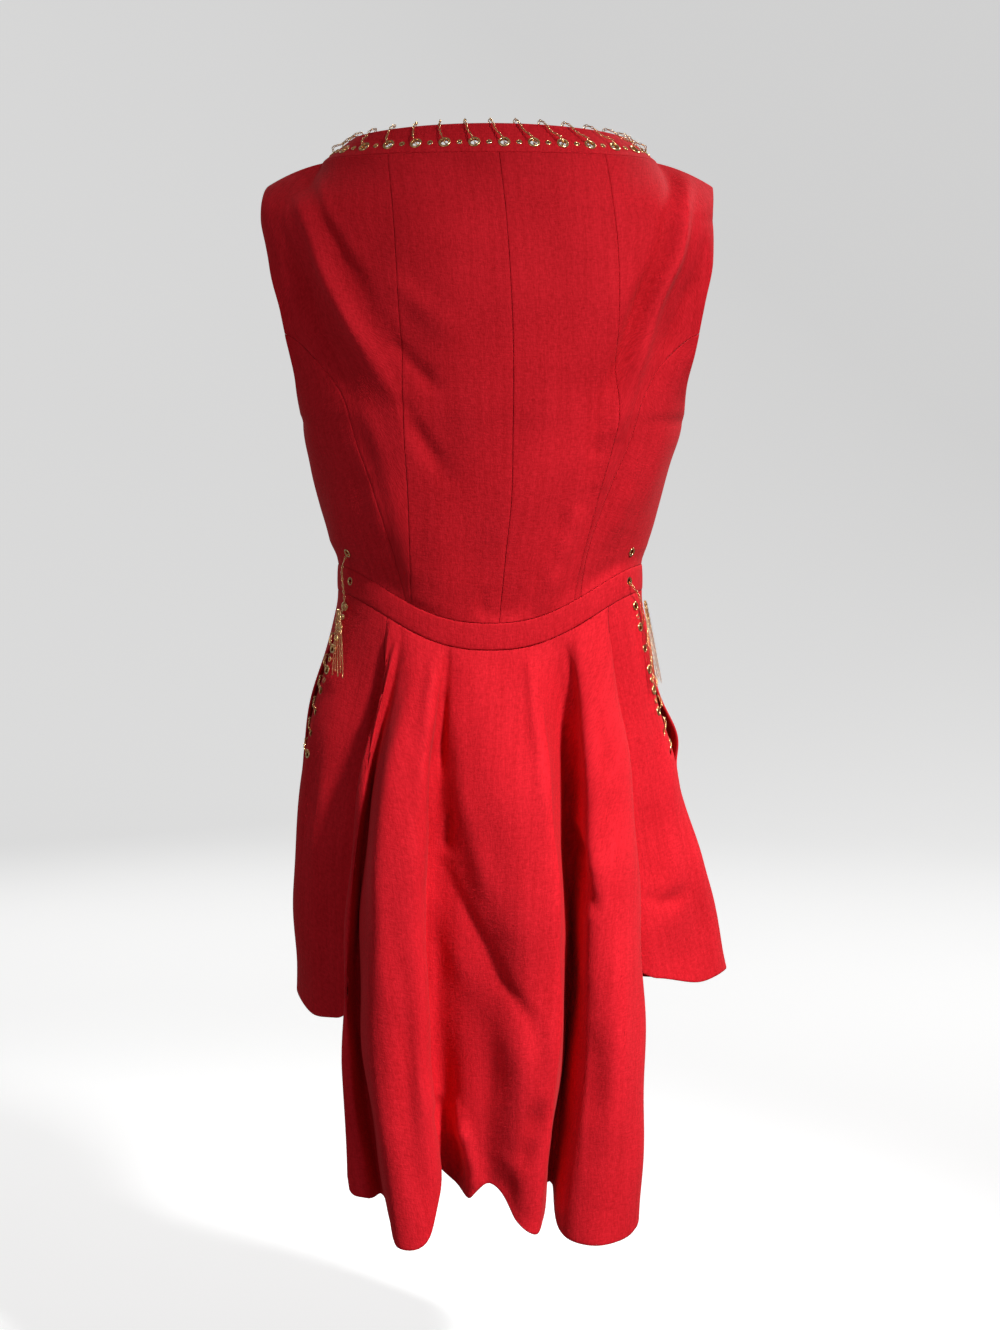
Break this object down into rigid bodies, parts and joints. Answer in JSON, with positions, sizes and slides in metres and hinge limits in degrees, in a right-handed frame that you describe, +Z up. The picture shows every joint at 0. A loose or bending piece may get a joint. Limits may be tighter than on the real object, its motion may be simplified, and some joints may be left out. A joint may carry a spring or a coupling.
{
  "type": "mini dress",
  "caption": "Sleeveless mini dress with a shaped panelled bodice, dipped waistband, long pleated back skirt and chain-laced neck and hip slits, in its worn form.",
  "frame": {"origin": "between the shoulder seams, where the wearer's shoulders hold the dress", "axes": "+Z up, -Y towards the back of the dress, +X towards the wearer's right"},
  "size_m": [0.3977, 0.3319, 0.9054],
  "materials": {
    "cloth": "matte heavy crepe with a fine upright grain",
    "metal": "polished yellow metal"
  },
  "bodies": {
    "root": {"back_centre_left": "cloth", "back_centre_right": "cloth", "back_side_left": "cloth", "back_side_right": "cloth", "back_underarm_left": "cloth", "back_underarm_right": "cloth", "front_bodice": "cloth", "neckband_back": "cloth", "neckband_front": "cloth", "waistband_back": "cloth", "waistband_front": "cloth", "skirt_back": "cloth", "skirt_front": "cloth", "skirt_side_left": "cloth", "skirt_side_right": "cloth", "pocket_backing_left": "cloth", "pocket_backing_right": "cloth", "neck_eyelet_01": "metal", "neck_eyelet_02": "metal", "neck_eyelet_03": "metal", "neck_eyelet_04": "metal", "neck_eyelet_05": "metal", "neck_eyelet_06": "metal", "neck_eyelet_07": "metal", "neck_eyelet_08": "metal", "neck_eyelet_09": "metal", "neck_eyelet_10": "metal", "neck_eyelet_11": "metal", "neck_eyelet_12": "metal", "neck_eyelet_13": "metal", "neck_eyelet_14": "metal", "neck_eyelet_15": "metal", "neck_eyelet_16": "metal", "neck_eyelet_17": "metal", "neck_eyelet_18": "metal", "neck_eyelet_19": "metal", "neck_eyelet_20": "metal", "neck_eyelet_21": "metal", "neck_eyelet_22": "metal", "neck_eyelet_23": "metal", "neck_eyelet_24": "metal", "neck_eyelet_25": "metal", "neck_eyelet_26": "metal", "neck_eyelet_27": "metal", "neck_eyelet_28": "metal", "neck_chain": "metal", "hip_chain_left": "metal", "hip_chain_right": "metal", "hip_tassel_left": "metal", "hip_tassel_right": "metal", "waist_eyelet_left": "metal", "waist_eyelet_right": "metal", "hip_eyelet_left": "metal", "hip_eyelet_right": "metal"}
  },
  "joints": []
}
